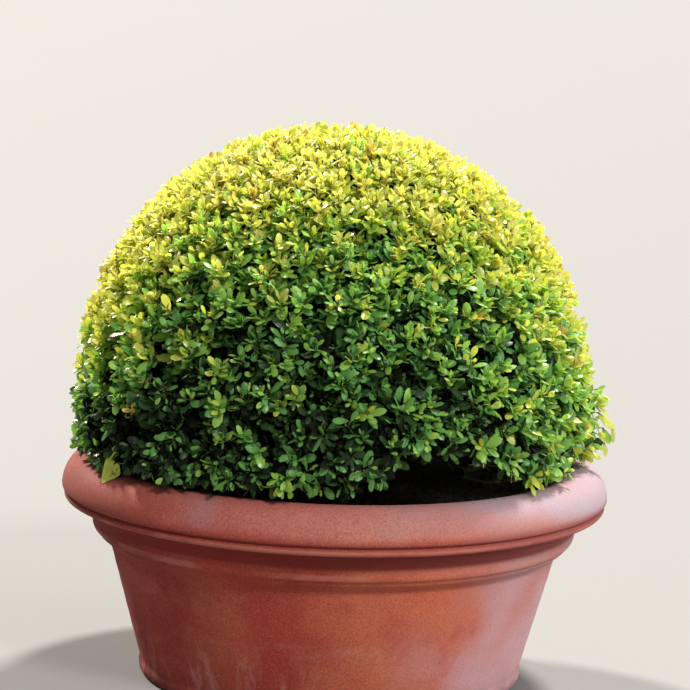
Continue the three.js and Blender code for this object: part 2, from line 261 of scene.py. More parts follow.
def makeClay():
    material, shader, place = newMaterial("fired_clay")
    x, y, height = splitPlace(place)
    across = maths("SQRT", plus(times(x, x), times(y, y)))
    clouds, patches, soft, mottle, sand, smears = (noise(place, *shape) for shape in clay["noises"].values())
    wash = noise(stretched(place, clay["washStretch"]), *clay["wash"])
    streaks = noise(stretched(place, clay["streakStretch"]), *clay["streaks"])
    paleSpecks, rough = grain(place, *clay["paleSpecks"])
    darkSpecks, roughToo = grain(place, *clay["darkSpecks"])
    flecks = grain(place, *clay["flecks"])[0]
    masks = (bandMask(height, *band) for band in clay["bands"].values())
    underRollShade, bandEdgeHighlight, beadHighlight, neckShade, rollCrease, bandCrease = masks

    # Painted shade, maroon to umber, is most at the left and thins out on the rim, and painted pale light and
    # reflection grow to the right
    leftShade = less(times(remap(clouds, 0.3, 0.7), 0.1), x)
    leftShade = times(remap(leftShade, 0.16, 0.32), remap(wash, 0.5, 0.68, 1.0, 0.62), remap(height, 0.21, 0.235, 1.0, 0.62))
    leftShadeColour = blend(remap(height, 0.2, 0.226), clay["shadeMaroon"], clay["shadeUmber"])
    # The top of the rim is rosier with pale patches, fewer where shade is painted on the left
    rim = times(remap(height, 0.216, 0.234, 0.0, 0.38), less(1.1, leftShade))
    towardsRight = plus(x, times(remap(soft, 0.3, 0.7), 0.1))
    onRim = remap(height, 0.216, 0.24)
    onTop = remap(plus(height, times(x, 0.23)), 0.274, 0.3)
    # Painted light and reflection: grey pink on the rim towards the right and on the right side, lavender at the top
    # right and far right, and pale pink on the right of the body below the rim
    rightSheen = larger(remap(towardsRight, 0.1, 0.3, 0.0, 0.5), times(remap(towardsRight, -0.2, 0.24, 0.1, 0.8), onRim))
    bloomAndSheen = larger(remap(towardsRight, 0.2, 0.38, 0.0, 0.5), times(remap(towardsRight, 0.14, 0.34, 0.0, 0.95), onTop))
    lower = less(towardsRight, times(height, 0.8))
    reflectedGlow = times(remap(lower, 0.08, 0.25, 0.0, 0.56), remap(height, 0.15, 0.2, 1.0, 0.0))

    # Lime runs down the foot, and the sanded grain is coarser on the left, with its rosy sand kept thinner under the
    # painted shade
    lime = times(remap(streaks, 0.5, 0.72), times(remap(height, 0.025, 0.095, 1.0, 0.0), 0.45))
    coarse = remap(towardsRight, 0.05, 0.3, 1.0, 0.35)
    sandShare = times(coarse, less(1.0, times(leftShade, 0.7)))

    # Painted highlights lie on the band's and the bead's rounded edges, the neck and the creases get painted shade,
    # and the mouth is dark with grime
    outside = remap(across, *clay["outside"])
    edgeHighlight = times(larger(bandEdgeHighlight, beadHighlight), remap(wash, 0.4, 0.62, 0.0, 0.5), outside)
    recessShade = times(neckShade, bandMask(across, *clay["neckReach"]))
    creaseShade = times(larger(rollCrease, bandCrease), remap(wash, 0.3, 0.6, 0.0, 0.2))
    creaseAndNeckShade = times(larger(creaseShade, times(recessShade, 0.8)), outside)
    smear = remap(smears, 0.3, 0.6, 0.25, 1.0)
    mouth = times(remap(across, *clay["mouth"], 1.0, 0.0), remap(height, 0.21, 0.236), smear)
    foot = times(remap(height, 0.0, 0.03, 0.55, 0.0), smear)

    ground = blend(remap(plus(clouds, times(x, 0.5)), 0.36, 0.66), clay["red"], clay["orange"])
    colour = blendLayers(ground, {**clay, "leftShade": leftShadeColour}, [
        ("rose", remap(wash, 0.5, 0.78, 0.0, 0.5)),
        # Painted shade on the left
        ("leftShade", times(leftShade, 0.92)),
        ("red", remap(patches, 0.5, 0.68, 0.0, 0.5)),
        ("rose", times(rim, remap(wash, 0.35, 0.6, 0.3, 1.0))),
        ("bloomAndSheen", times(rim, remap(soft, 0.46, 0.68, 0.0, 0.9))),
        # Painted light and reflection on the right
        ("rightSheen", rightSheen),
        ("bloomAndSheen", bloomAndSheen),
        ("reflectedGlow", reflectedGlow),
        # Painted shade under the roll
        ("underRollShadow", times(underRollShade, 0.7)),
        ("lime", lime),
        ("creaseShadeAndMottle", times(remap(mottle, 0.46, 0.62, 0.0, 0.48), coarse)),
        ("rose", times(remap(sand, 0.5, 0.66, 0.0, 0.32), sandShare)),
        ("lime", times(paleSpecks, 0.08)),
        ("creaseShadeAndMottle", times(darkSpecks, 0.34)),
        ("grime", times(flecks, 0.6)),
        # Painted highlights on the rounded edges
        ("rose", edgeHighlight),
        # Painted shade in the creases and the neck
        ("creaseShadeAndMottle", creaseAndNeckShade),
        ("grime", larger(mouth, foot)),
    ])
    relief = plus(times(rough, 0.5), times(roughToo, 0.4), times(mottle, 0.2))
    roughness = remap(wash, 0.3, 0.7, *clay["roughness"])
    dressShader(shader, colour, roughness, relief, clay["bump"], clay["specular"])
    return material


# Damp compost: near black crumbs with brown fibres

compost = dict(
    dark=paint(42, 35, 28), brown=paint(88, 70, 52), fibre=paint(130, 108, 80),
    crumbs=(160.0, 5.0, 0.7), fibres=(330.0, 0.25), roughness=(0.8, 0.98), bump=(0.9, 0.004),
)


def makeCompost():
    material, shader, place = newMaterial("compost")
    crumbs = noise(place, *compost["crumbs"])
    fibres, rough = grain(place, *compost["fibres"])
    ground = blend(remap(crumbs, 0.4, 0.7), compost["dark"], compost["brown"])
    colour = blend(times(fibres, 0.5), ground, compost["fibre"])
    roughness = remap(crumbs, 0.3, 0.7, *compost["roughness"])
    dressShader(shader, colour, roughness, plus(crumbs, rough), compost["bump"])
    return material


# Bark: grey brown, furrowed along the limb, with a green film, which is stronger on young wood

barks = dict(
    old_bark=dict(dark=paint(70, 56, 42), pale=paint(142, 124, 98), film=paint(92, 104, 62), share=0.35, scale=90),
    young_bark=dict(dark=paint(74, 62, 38), pale=paint(126, 118, 72), film=paint(104, 128, 58), share=0.6, scale=160),
)
barkFinish = dict(
    furrows=(5.0, 0.62, 0.5), furrowStretch=(1.0, 1.0, 0.3), moss=(40.0, 3.0, 0.5), specks=(900.0, 0.3),
    roughness=(0.72, 0.92), bump=(0.6, 0.0015),
)


def makeBark(name):
    bark = barks[name]
    material, shader, place = newMaterial(name)
    furrows = noise(stretched(place, barkFinish["furrowStretch"]), bark["scale"], *barkFinish["furrows"])
    moss = noise(place, *barkFinish["moss"])
    specks, rough = grain(place, *barkFinish["specks"])
    ground = blend(remap(furrows, 0.35, 0.68), bark["dark"], bark["pale"])
    film = remap(moss, 0.42, 0.66, 0.0, bark["share"])
    colour = blendLayers(ground, bark, [("film", film), ("pale", times(specks, 0.35))])
    roughness = remap(furrows, 0.3, 0.7, *barkFinish["roughness"])
    dressShader(shader, colour, roughness, plus(furrows, times(rough, 0.4)), barkFinish["bump"])
    return material


# Leaf skin: a sunken rib down the middle, faint side veins and an uneven wax, from the leaf's own map,
# where u runs across the blade and v from its stalk to its tip

def makeLeafGroup():
    group, given, made = newGroup("leafSkin", {"Map": None, "Place": None, "Dull": 0.45}, ["Roughness", "Height"])
    across, along = splitPlace(given["Map"])[:2]
    aside = maths("ABSOLUTE", less(across, 0.5))
    rib = remap(aside, 0.0, 0.09, -1.0, 0.0)
    veins = times(maths("SINE", plus(times(along, 44.0), times(aside, -38.0))), 0.12)
    wax = noise(given["Place"], 520.0, 3.0, 0.6)
    uneven = remap(noise(given["Place"], 130.0, 2.0, 0.5), 0.3, 0.7, -0.09, 0.11)
    feed(made, {"Roughness": plus(given["Dull"], uneven), "Height": plus(rib, veins, times(wax, 0.5))})
    return group


leafSkin = makeLeafGroup()


# Roughness and height of leaf skin at a given dullness
def addLeafSkin(place, dull):
    leafMap = place.id_data.nodes.new("ShaderNodeUVMap")
    leafMap.uv_map = "leaf"
    return addNode("ShaderNodeGroup", {"node_tree": leafSkin}, leafMap.outputs[0], place, dull).outputs


# Leaf colours, from tips painted as sunlit to leaves inside painted in shade, and last the few that the sun has
# scorched:
# colour in front, colour of the light let through, share let through, roughness and gloss

leafTones = dict(
    gold=(paint(208, 204, 102), paint(222, 220, 98), 0.48, 0.36, 1.0),
    lime=(paint(192, 202, 82), paint(218, 224, 78), 0.42, 0.34, 1.0),
    fresh=(paint(143, 188, 84), paint(182, 218, 76), 0.34, 0.34, 0.7),
    grass=(paint(100, 154, 80), paint(138, 192, 70), 0.34, 0.34, 0.5),
    deep=(paint(50, 74, 42), paint(80, 118, 46), 0.34, 0.38, 0.3),
    shade=(paint(28, 31, 22), paint(34, 42, 22), 0.3, 0.5, 0.1),
    amber=(paint(206, 180, 88), paint(216, 190, 82), 0.44, 0.38, 0.9),
)
leafFinish = dict(coat=0.36, coatRoughness=0.25, specular=0.5, bump=(0.25, 0.0006))


def makeLeafMaterial(tone):
    front, through, throughShare, dull, gloss = leafTones[tone]
    material, shader, place = newMaterial(f"leaf_{tone}")
    roughness, height = addLeafSkin(place, dull)
    dressShader(shader, front, roughness, height, leafFinish["bump"], leafFinish["specular"] * gloss)
    feed(shader, {"Coat Weight": leafFinish["coat"] * gloss, "Coat Roughness": leafFinish["coatRoughness"]})
    nodes = material.node_tree.nodes
    glow = feed(nodes.new("ShaderNodeBsdfTranslucent"), {"Color": through})
    both = addNode("ShaderNodeMixShader", {}, throughShare, shader.outputs[0], glow.outputs[0])
    feed(nodes["Material Output"], {"Surface": both.outputs[0]})
    return material


firedClay = makeClay()
dampCompost = makeCompost()
oldBark, youngBark = (makeBark(name) for name in barks)
print("materials: ready")


# Small helpers for shapes

def smoothStep(low, high, value):
    share = np.clip((value - low) / (high - low), 0, 1)
    return share * share * (3 - 2 * share)


def lengths(rows):
    return np.linalg.norm(rows, axis=-1, keepdims=True)


def unit(rows):
    return rows / np.maximum(lengths(rows), 1e-9)


def lerp(first, second, share):
    return first + (second - first) * share


# Angles of the corners of a ring
def ringAngles(count):
    return np.linspace(0, 2 * math.pi, count, endpoint=False)


# Corner numbers of the quads of a grid, row by row, closed round when wrapped
def gridFaces(rows, columns, wrap=True):
    i, j = np.meshgrid(np.arange(rows - 1), np.arange(columns if wrap else columns - 1), indexing="ij")
    beside = (j + 1) % columns
    faces = [i * columns + j, i * columns + beside, (i + 1) * columns + beside, (i + 1) * columns + j]
    return np.stack(faces, -1).reshape(-1, 4)


# Triangles from a pole to the ring of corners that starts at a number
def poleFaces(pole, start, columns):
    j = np.arange(columns)
    return np.stack([np.full(columns, pole), start + j, start + (j + 1) % columns], -1)


# A mesh from points in millimetres and sets of faces, attached to the root body, hiding the frame's nodes that it
# replaces
def makePiece(name, points, faceSets, material, nodes, leafMap=None):
    mesh = bpy.data.meshes.new(name)
    mesh.vertices.add(len(points))
    mesh.vertices.foreach_set("co", (points * metre).astype(np.float32).ravel())
    corners = joined([faces.ravel() for faces in faceSets])
    sizes = joined([np.full(len(faces), faces.shape[1]) for faces in faceSets])
    mesh.loops.add(len(corners))
    mesh.loops.foreach_set("vertex_index", corners.astype(np.int32))
    mesh.polygons.add(len(sizes))
    mesh.polygons.foreach_set("loop_start", joined([[0], np.cumsum(sizes)[:-1]]).astype(np.int32))
    mesh.polygons.foreach_set("use_smooth", np.ones(len(sizes), bool))
    if leafMap is not None:
        mesh.uv_layers.new(name="leaf").data.foreach_set("uv", leafMap[corners].astype(np.float32).ravel())
    mesh.update(calc_edges=True)
    mesh.materials.append(material)
    piece = addObject(name, mesh)
    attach(piece, "root")
    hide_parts(*nodes)
    print(f"{name}: {int((sizes - 2).sum())} triangles")


# A piece made of rings of corners, closed by a fan from a pole at each end; its rings run inwards where
# they start at the middle of the top
def makeClosedPiece(name, rings, poles, material, nodes, inwards=False):
    rows, columns = rings.shape[:2]
    last = rows * columns
    fans = [poleFaces(last, 0, columns)[:, ::-1], poleFaces(last + 1, last - columns, columns)]
    faces = [part[:, ::-1] if inwards else part for part in (gridFaces(rows, columns), *fans)]
    makePiece(name, joined([rings.reshape(-1, 3), poles]), faces, material, nodes)


# Pot: a profile of radius and height carried round the axis. The profile's straight runs are filled at even
# steps and rounded by a running mean, and rows are kept closest where it bends.

pot = dict(
    outside=[
        (222, 0), (225.5, 4), (226.5, 11), (224.5, 16), (262.5, 155), (272.5, 163), (276.4, 165.6), (276.6, 168.6),
        (281.2, 171), (283.6, 177), (283.6, 182), (284.2, 188), (287, 198), (293, 203.4), (310, 205.4), (316.4, 208),
        (317.6, 211.5), (316.6, 214.4), (312.8, 216.2), (318.4, 217.6),
    ],
    rollCentre=(287, 220), rollHalf=(33, 38), rollPoints=60,
    inside=[(244.5, 175), (240.5, 155), (204.7, 24)], step=0.4, rounding=1.7, rowsPerStep=0.06, rowsPerRadian=2.6,
    inset=0.8, segments=288, waver=0.27, waverRadius=320,
    waves=[(1.0, 2, 0.6, math.inf), (0.5, 3, 2.1, 90), (0.25, 7, 0.0, 40)],
    throwing=0.16, throwingPitch=9.0, throwingSlant=1.5, throwingFrom=(14, 30), throwingTo=(140, 154),
    dip=0.5, dipStart=1.1, dipFrom=(60, 250),
)


def potProfile():
    angle = np.linspace(0, math.pi, pot["rollPoints"])
    roll = np.stack([np.cos(angle), np.sin(angle)], -1) * pot["rollHalf"] + pot["rollCentre"]
    line = joined([pot["outside"], roll, pot["inside"]])
    run = joined([[0], np.cumsum(np.hypot(*np.diff(line, axis=0).T))])
    even = np.arange(0, run[-1], pot["step"])
    filled = np.stack([np.interp(even, run, line[:, k]) for k in (0, 1)], -1)
    reach = int(3 * pot["rounding"] / pot["step"])
    weight = np.exp(-0.5 * (np.arange(-reach, reach + 1) * pot["step"] / pot["rounding"]) ** 2)
    padded = joined([np.repeat(filled[:1], reach, 0), filled, np.repeat(filled[-1:], reach, 0)])
    rounded = np.stack([np.convolve(padded[:, k], weight / weight.sum(), "valid") for k in (0, 1)], -1)
    turn = np.abs(np.gradient(np.unwrap(np.arctan2(*np.gradient(rounded, axis=0).T[::-1]))))
    wanted = np.cumsum(pot["rowsPerStep"] + turn * pot["rowsPerRadian"])
    kept = np.searchsorted(wanted, np.linspace(wanted[0], wanted[-1], int(wanted[-1])))
    return rounded[np.unique(kept)]


# The clay strays from the profile: radius by waver times the sum of share sin(count angle + start + level / climb)
# and by fine throwing rings up the body, and height by a dip of the rim, sin(2 angle + start)
def makePot():
    profile = potProfile()
    radius, level = profile[:, 0:1], profile[:, 1:2]
    angle = ringAngles(pot["segments"])[None]
    waver = pot["waver"] * sum(share * np.sin(count * angle + start + level / climb)
                               for share, count, start, climb in pot["waves"])
    body = smoothStep(*pot["throwingFrom"], level) * (1 - smoothStep(*pot["throwingTo"], level))
    throwing = np.sin(2 * math.pi * level / pot["throwingPitch"] + pot["throwingSlant"] * np.sin(angle))
    wide = radius - pot["inset"] + waver * (radius / pot["waverRadius"]) + pot["throwing"] * throwing * body
    tall = level + pot["dip"] * np.sin(2 * angle + pot["dipStart"]) * smoothStep(*pot["dipFrom"], level)
    rings = np.stack([wide * np.cos(angle), wide * np.sin(angle), tall], -1)
    poles = [[0, 0, profile[0, 1]], [0, 0, profile[-1, 1]]]
    makeClosedPiece("terracotta_pot", rings, poles, firedClay, ["pot"])


makePot()


# Level of the top of the rolled rim over points: its middle + half height times the root of 1 - across squared
def rollCrest(points):
    across = (np.hypot(points[..., 0], points[..., 1]) - pot["rollCentre"][0]) / pot["rollHalf"][0]
    return pot["rollCentre"][1] + pot["rollHalf"][1] * np.sqrt(np.maximum(0, 1 - across * across))


# Soil: a low mound whose surface is lumps upon lumps, closed by the pot's inside. Each size of lump adds
# height times sin(x + 2 sin(a y)) times sin(b y + 2 cos(c x)), with x and y in turns of its size.

soil = dict(
    level=227.0, fall=6.0, innermost=1.5, radius=252.6, rings=90, segments=180, skew=(0.37, 0.93, 0.41),
    lumps=[(23.0, 1.6), (11.0, 1.1), (5.5, 0.8)], side=[(252.6, 219), (243.0, 175), (239.0, 155), (203.6, 25)],
)


def makeSoil():
    angle = ringAngles(soil["segments"])[None]
    radius = np.linspace(soil["innermost"], soil["radius"], soil["rings"])[:, None]
    x, y = radius * np.cos(angle), radius * np.sin(angle)
    level = soil["level"] - soil["fall"] * (radius / soil["radius"]) ** 2 + 0 * angle
    a, b, c = soil["skew"]
    for size, height in soil["lumps"]:
        wave = 2 * math.pi / size
        lumps = np.sin(x * wave + 2 * np.sin(y * wave * a)) * np.sin(y * wave * b + 2 * np.cos(x * wave * c))
        level = level + height * lumps
    side = np.array(soil["side"])[:, :, None]
    x = joined([x, side[:, 0] * np.cos(angle)])
    y = joined([y, side[:, 0] * np.sin(angle)])
    poles = [[0, 0, level[0].mean()], [0, 0, soil["side"][-1][1]]]
    level = joined([level, side[:, 1] + 0 * angle])
    makeClosedPiece("compost", np.stack([x, y, level], -1), poles, dampCompost, ["soil"], True)


makeSoil()


# Trunk: level rings along foot + s rise, with a taper, a lobed flare at the foot and furrowed bark:
# radius = taper + flare times lobes + ridges that wander round the trunk

trunk = dict(
    foot=np.array([0.0, 0.0, 228.3]), rise=np.array([-6.0, 5.0, 74.0]), footRadius=24.0, topRadius=16.0, inset=0.6,
    flareReach=15.0, flareHeight=14.0, lobes=5, lobeDepth=0.35, ridges=17, ridgeHeight=0.9, sides=150, rings=70,
    crowding=1.2,
)


# Height of bark ridges at an angle and a distance along the limb: height times
# (0.75 |sin(wander / 2)| - 0.5 + 0.25 plates), where wander turns with the angle and strays along the limb
def barkRidges(angle, along, ridges, height):
    wander = angle * ridges + 1.7 * np.sin(along / 9 + 2 * np.sin(angle)) + 0.9 * np.sin(along / 3.7 + angle * 3)
    plates = np.sin(along / 5.3 + 2.2 * np.sin(angle * 4 + along / 21))
    return height * (0.75 * np.abs(np.sin(wander / 2)) - 0.5 + 0.25 * plates)


def makeTrunk():
    share = np.linspace(0, 1, trunk["rings"])[:, None] ** trunk["crowding"]
    angle = ringAngles(trunk["sides"])[None]
    climb = share * trunk["rise"][2]
    flare = trunk["flareReach"] * np.exp(-climb / trunk["flareHeight"])
    lobe = 1 - trunk["lobeDepth"] + trunk["lobeDepth"] * np.cos(trunk["lobes"] * angle)
    radius = lerp(trunk["footRadius"], trunk["topRadius"], share) + flare * lobe - trunk["inset"]
    radius = radius + barkRidges(angle, climb, trunk["ridges"], trunk["ridgeHeight"])
    middle = trunk["foot"] + trunk["rise"] * share
    rings = middle[:, None] + radius[..., None] * np.stack([np.cos(angle), np.sin(angle), 0 * angle], -1)
    poles = [trunk["foot"], trunk["foot"] + trunk["rise"]]
    makeClosedPiece("trunk_bark", rings, poles, oldBark, ["trunk"])


makeTrunk()


# Crown outline: half an ellipsoid to the leaves' tips, a little fuller at its shoulders, on an upright skirt,
# arched underneath and lifted at the front right, where it leaves a dark gap over the rim:
# (distance / radius) ^ fullness + (height over the widest level / its most) ^ fullness = 1

crown = dict(
    centre=(-6.0, 0.0), radius=309.0, widest=319.0, top=651.5, fullness=2.08, edge=261.0, hem=251.0,
    archRise=92.0, archRadius=225.0, archMargin=20.0, gapAzimuth=math.radians(27), gapHalfWidth=math.radians(16),
    gapLift=46.0, gapFade=140.0, rollClearance=3.0, turnSteps=600, skirtSteps=100,
)


# Level of the arch at a distance from the middle: hem + rise times the root of 1 - (distance / radius) squared
def archLevel(distance):
    inside = np.maximum(0, 1 - (distance / crown["archRadius"]) ** 2)
    return crown["hem"] + crown["archRise"] * np.sqrt(inside)


# Lift of the clipped edge at an azimuth from the front towards +X: flat across the gap with steep ends,
# lift = gap lift times e to the minus fourth power of the way across, less with height
def edgeLift(azimuth, level):
    away = (azimuth - crown["gapAzimuth"]) / crown["gapHalfWidth"]
    fade = np.clip(1 - (level - crown["hem"]) / crown["gapFade"], 0, 1)
    return crown["gapLift"] * np.exp(-away ** 4) * fade


# Even spots on the outline, drawn in by a depth, and the ways that they look: the k-th of n has (k + 0.5) / n
# of the area above it, and each is turned by the golden angle from the one before
def evenSpots(count, depth=0.0, lowest=crown["edge"], twist=0.0):
    widest, across, upright = crown["widest"], crown["radius"] - depth, crown["top"] - crown["widest"] - depth
    turn = np.linspace(0, math.pi / 2, crown["turnSteps"])
    skirt = np.linspace(0, widest - lowest, crown["skirtSteps"])[1:]
    out, rise = (np.clip(part, 0, 1) ** (2 / crown["fullness"]) for part in (np.sin(turn), np.cos(turn)))
    radius = joined([across * out, np.full(len(skirt), across)])
    level = joined([widest + upright * rise, widest - skirt])
    slope = joined([turn, np.full(len(skirt), math.pi / 2)])
    band = np.hypot(np.diff(radius), np.diff(level)) * (radius[1:] + radius[:-1])
    area = joined([[0], np.cumsum(band)])
    share = (np.arange(count) + 0.5) / count * area[-1]
    radius, level, slope = (np.interp(share, area, line) for line in (radius, level, slope))
    azimuth = (np.arange(count) * goldenAngle + twist + math.pi) % (2 * math.pi) - math.pi
    east, north = np.sin(azimuth), -np.cos(azimuth)
    x, y = crown["centre"][0] + radius * east, crown["centre"][1] + radius * north
    steep, flat = np.cos(slope) / (crown["top"] - widest), np.sin(slope) / crown["radius"]
    outward = unit(np.stack([flat * east, flat * north, steep], -1))
    return np.stack([x, y, level + edgeLift(azimuth, level)], -1), outward


# Whether points keep to the crown's space: under the outline, clear of the rolled rim and of the boughs below
def inCrownSpace(points, beyond):
    distance = np.hypot(points[..., 0] - crown["centre"][0], points[..., 1] - crown["centre"][1])
    above = np.maximum(0, points[..., 2] - crown["widest"]) / (crown["top"] - crown["widest"])
    under = (distance / (crown["radius"] + beyond)) ** crown["fullness"] + above ** crown["fullness"] < 1
    clear = points[..., 2] > rollCrest(points) + crown["rollClearance"]
    overBoughs = (distance > crown["archRadius"] - crown["archMargin"]) | (points[..., 2] > archLevel(distance))
    return under & clear & overBoughs


# Corners of rings about a middle line, square to the way that the line runs
def ringsAbout(middle, along, helper, angle, radius):
    first = unit(np.cross(along, helper))
    second = np.cross(along, first)
    ring = first[..., None, :] * np.cos(angle)[..., None] + second[..., None, :] * np.sin(angle)[..., None]
    return middle[..., None, :] + ring * radius


# Limbs: tubes carried along bowed lines, many at once. At a share s of its way a limb's middle lies on
# the straight line plus 4 s (1 - s) times its bow, and its radius runs evenly from root to tip.
def tubePoints(start, end, bow, rootRadius, tipRadius, sides, rings):
    share = np.linspace(0, 1, rings)[None, :, None]
    start, end, bow = start[:, None], end[:, None], bow[:, None]
    middle = start + (end - start) * share + bow * 4 * share * (1 - share)
    along = unit(end - start + bow * 4 * (1 - 2 * share))
    nearUpright = 0.9  # beyond this share of upright the rings are laid out from the x axis
    helper = np.where(np.abs(along[:, :1, 2:3]) > nearUpright, [1.0, 0.0, 0.0], up)
    return ringsAbout(middle, along, helper, ringAngles(sides), lerp(rootRadius, tipRadius, share[..., None]))


def tubeFaces(count, sides, rings):
    wall = gridFaces(rings, sides)
    ends = [np.arange(sides)[::-1][None], (np.arange(sides) + (rings - 1) * sides)[None]]
    steps = (np.arange(count) * sides * rings)[:, None, None]
    return [(steps + faces[None]).reshape(-1, faces.shape[1]) for faces in (wall, *ends)]


# Boughs: tubes with bark, bent from the trunk up into the underside of the crown. A bough's middle is
# the curve (1 - s)^2 start + 2 s (1 - s) bend + s^2 end.

boughs = dict(
    count=6, lowest=34.0, rise=20.0, radii=(9.5, 5.0), inset=0.3,
    reach=(188.0, 150.0), turn=0.35, bend=(0.6, 0.38), overrun=20.0, ridges=9, ridgeHeight=0.55,
    barkLength=190.0, barkShift=31.0, sides=40, rings=90,
)


def makeBough(index):
    azimuth = (index + boughs["turn"]) / boughs["count"] * 2 * math.pi
    share = (boughs["lowest"] + index % 2 * boughs["rise"]) / trunk["rise"][2]
    start = trunk["foot"] + trunk["rise"] * share
    reach = boughs["reach"][index % 2]
    end = np.array([math.cos(azimuth) * reach, math.sin(azimuth) * reach, archLevel(reach) + boughs["overrun"]])
    bend = lerp(start, end, boughs["bend"][0])
    bend[2] = lerp(start[2], end[2], boughs["bend"][1])
    share = np.linspace(0, 1, boughs["rings"])[:, None]
    middle = (1 - share) ** 2 * start + 2 * share * (1 - share) * bend + share ** 2 * end
    along = unit(2 * (1 - share) * (bend - start) + 2 * share * (end - bend))
    angle = ringAngles(boughs["sides"])[None]
    barkPlace = share * boughs["barkLength"] + index * boughs["barkShift"]
    bark = barkRidges(angle, barkPlace, boughs["ridges"], boughs["ridgeHeight"])
    radius = lerp(*boughs["radii"], share) - boughs["inset"] + bark
    rings = ringsAbout(middle, along, up, angle, radius[..., None])
    makeClosedPiece(f"bough_bark_{index + 1}", rings, [start, end], oldBark, [f"bough_{index + 1}"])
    return end


boughEnds = np.array([makeBough(index) for index in range(boughs["count"])])


# Twigs: a stem goes on from the trunk and forks, limbs leave the nearest fork or bough end, each spray's
# twig leaves the nearest limb, and each shoot leaves the nearest spray. A tube is its radius at the root and at
# the tip, its sides and its rings, and a bow is the width of its chance and its lift, as shares of the length.

stem = dict(sunk=2.0, height=130.0, tube=(15.5, 7.0, 20, 12))
fork = dict(count=14, share=0.5, tube=(6.5, 4.6, 10, 9), bow=(0.12, -0.04))
limb = dict(count=130, depth=120.0, tube=(4.2, 2.6, 8, 7), bow=(0.16, -0.06))

# Sprays that look up are sunny, less so those that look to the front or the back, and the others are sunk
spray = dict(
    count=1300, lowest=274.0, twist=0.7, stray=9.0, depth=60.0, drop=8.0,
    openness=(-0.45, 0.89), sunnyRange=(-0.45, 0.78), sunk=34.0, sunkShare=(1.0, 0.35),
    tube=(2.1, 1.3, 5, 4), bow=(0.2, -0.05),
)
shoot = dict(
    count=7400, twist=2.1, stray=8.0, depth=7.5, depthChance=4.0, domed=0.02,
    gather=0.36, fanned=0.045, chance=1.0, droop=-0.45, rise=0.4, risenLevel=380.0,
    bend=0.22, tube=(1.25, 0.6, 3, 3),
)
# Inner shoots deep in the crown take the darkest tone, painted shade
innerShoot = dict(count=1300, twist=4.4, depth=(50.0, 74.0), chance=1.6, tone=5.6, size=1.1, tight=1.3)

leaf = dict(
    length=16.8, lengthChance=0.95, toneChance=1.5, turnChance=0.7, leanChance=26.0, rollChance=0.9,
    missing=(0.24, 0.1), stations=[0.26, 0.58, 0.87], halfWidths=[0.33, 0.5, 0.34], slimness=0.48,
    arch=0.075, edgeDrop=0.11, tipDrop=0.02, skyward=0.7,
    # Pairs from the tip back: distance in millimetres, angle to the shoot in degrees, size and shift of tone, which
    # paints the tip pair paler and shade on the pairs further back
    back=[0.5, 6.0, 12.5, 19.5], spread=[30.0, 50.0, 64.0, 74.0], scale=[0.66, 0.92, 1.0, 0.96],
    toneShift=[-0.6, 0.0, 1.2, 2.6], toneShiftShare=(1.0, 0.25), sizes=(1.02, 0.84), sizeSlopes=(0.1, 0.9),
)

# Tones count from 0 for gold to 5 for shade, and a scorched one is marked by a number far below
tones = dict(
    shaded=3.1, sunnyDrop=3.0, perSunk=0.04, chance=0.5,
    # Shifts: the most, and for each axis the places between which it sets in. Painted shade low at the front left,
    # painted light on the right and high on the left.
    shifts=[
        (1.9, [(0, -120, -250), (1, -30, -110), (2, 380, 290)]),
        (-0.5, [(0, 120, 280)]),
        (-0.9, [(0, -130, -290), (2, 320, 400)]),
    ],
    gildedShare=0.1, gilding=(0.6, 1.3), scorchedShare=0.05, scorched=-9.0, scorchedBelow=-5.0,
)

random = np.random.default_rng(seed=7)


# Random numbers spread evenly over a width about nothing
def stray(shape, width):
    return (random.random(shape) - 0.5) * width


def nearest(points, others):
    away = ((points[:, None] - others[None]) ** 2).sum(-1)
    return away.argmin(1)


# Bow of each limb: its length times the sum of a chance every way and a lift
def chanceBow(kind, start, end):
    width, lift = kind["bow"]
    return lengths(end - start) * (stray(end.shape, width) + up * lift)


# Joins batches of limbs, each of its kind, into one piece
def makeLimbs(name, batches, material):
    points, faceSets, first = [], [], 0
    for kind, start, end, bow in batches:
        grown = tubePoints(start, end, bow, *kind["tube"])
        faceSets += [faces + first for faces in tubeFaces(len(grown), *kind["tube"][2:])]
        points.append(grown.reshape(-1, 3))
        first += len(points[-1])
    makePiece(name, joined(points), faceSets, material, ["foliage_dome"])


# One leaf's corners (its stalk, three at each station s, its tip) as shares of its length forward, aside and
# raised, its map and its faces: raised = 4 arch s (1 - s), less edge drop times its width there at an edge
def leafPattern():
    count = len(leaf["stations"])
    s, half = np.repeat([leaf["stations"], leaf["halfWidths"]], 3, axis=1)
    half, side = half * leaf["slimness"], np.tile([-1, 0, 1], count)
    raised = 4 * leaf["arch"] * s * (1 - s) - leaf["edgeDrop"] * half * 2 * abs(side)
    places = joined([[[0, 0, 0]], np.stack([s, side * half, raised], -1), [[1, 0, -leaf["tipDrop"]]]])
    tip = 1 + 3 * count
    faces = [(0, 2, 1), (0, 3, 2), (tip, tip - 3, tip - 2), (tip, tip - 2, tip - 1)]
    for corner in range(1, tip - 3, 3):
        for b in (corner, corner + 1):
            faces += [(b, b + 1, b + 4), (b, b + 4, b + 3)]
    return places, places[:, 1::-1] + (0.5, 0), np.array(faces)


leafPlaces, leafSpots, leafFaces = leafPattern()
